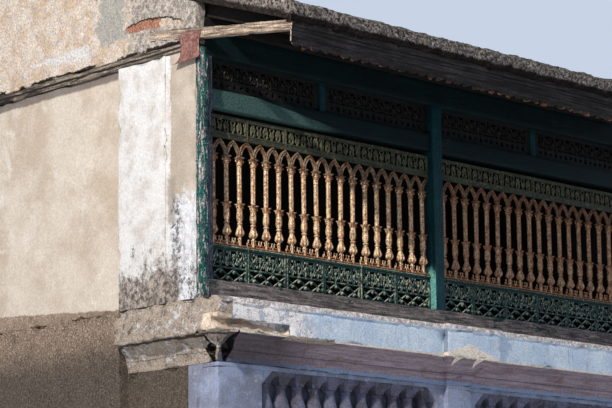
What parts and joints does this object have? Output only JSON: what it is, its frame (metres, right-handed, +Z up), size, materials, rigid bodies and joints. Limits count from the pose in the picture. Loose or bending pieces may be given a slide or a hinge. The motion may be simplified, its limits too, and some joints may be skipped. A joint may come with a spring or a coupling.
{
  "type": "enclosed gallery balcony",
  "caption": "Enclosed upper-floor gallery balcony: cast arcade screens between timber posts, on a masonry base with balusters and a coved cornice, under a lean-to roof.",
  "frame": {"origin": "on the bearing face of the base, under the middle post, in the plane of the posts' front faces", "axes": "+X to the right along the front as seen from outside, +Y into the house, +Z up"},
  "size_m": [6.1974, 4.103, 4.8852],
  "materials": {
    "limewash_base": "weathered limewash over plaster",
    "limewash_cornice": "pale blue limewash, patched and chipped",
    "rough_render": "rough grey-brown render",
    "pier_plaster": "worn plaster with rain streaks",
    "floor_concrete": "plain screed",
    "roof_crust": "rough lime and tile crust",
    "gable_plaster": "rough plaster over brick",
    "timber_grey": "weathered bare timber with paint remnants",
    "timber_teal": "worn dark green paint on timber",
    "timber_raw": "bare weathered timber",
    "board_grey": "grey-brown weathered boards",
    "fret_dark": "dark green painted fretwork",
    "iron_green": "chipped green paint with rust",
    "iron_cream": "chalky cream paint with rust",
    "iron_olive": "dull olive paint",
    "rusted_sheet": "copper-brown oxidised sheet"
  },
  "bodies": {
    "root": {"base_front_wall": "limewash_base", "base_plinth": "limewash_base", "base_piers": "limewash_base", "base_lintel": "limewash_base", "balusters_bay_1": "limewash_base", "balusters_bay_2": "limewash_base", "base_side_left": "rough_render", "base_side_right": "rough_render", "cornice": "limewash_cornice", "floor_slab": "floor_concrete", "sill": "timber_grey", "post_left": "timber_grey", "post_middle": "timber_teal", "post_right": "timber_grey", "head_beam": "timber_teal", "wall_plate": "timber_raw", "transom_bay_1": "timber_teal", "transom_bay_2": "timber_teal", "mullions": "timber_teal", "fret_bay_1": "fret_dark", "fret_bay_2": "fret_dark", "grille_bay_1": "iron_green", "grille_bay_2": "iron_green", "arcade_bay_1": "iron_cream", "arcade_bay_2": "iron_cream", "frieze_bay_1": "iron_olive", "frieze_bay_2": "iron_olive", "jambs": "timber_teal", "side_wall_left": "pier_plaster", "side_wall_right": "pier_plaster", "side_plates": "timber_raw", "outriggers": "timber_raw", "gable_left": "gable_plaster", "gable_right": "gable_plaster", "back_wall_left": "pier_plaster", "back_wall_right": "pier_plaster", "back_wall_over_door": "pier_plaster", "back_wall_base": "rough_render", "rafters": "timber_raw", "roof_slab": "roof_crust", "eave_boards": "board_grey", "corner_sheet": "rusted_sheet"}
  },
  "joints": []
}
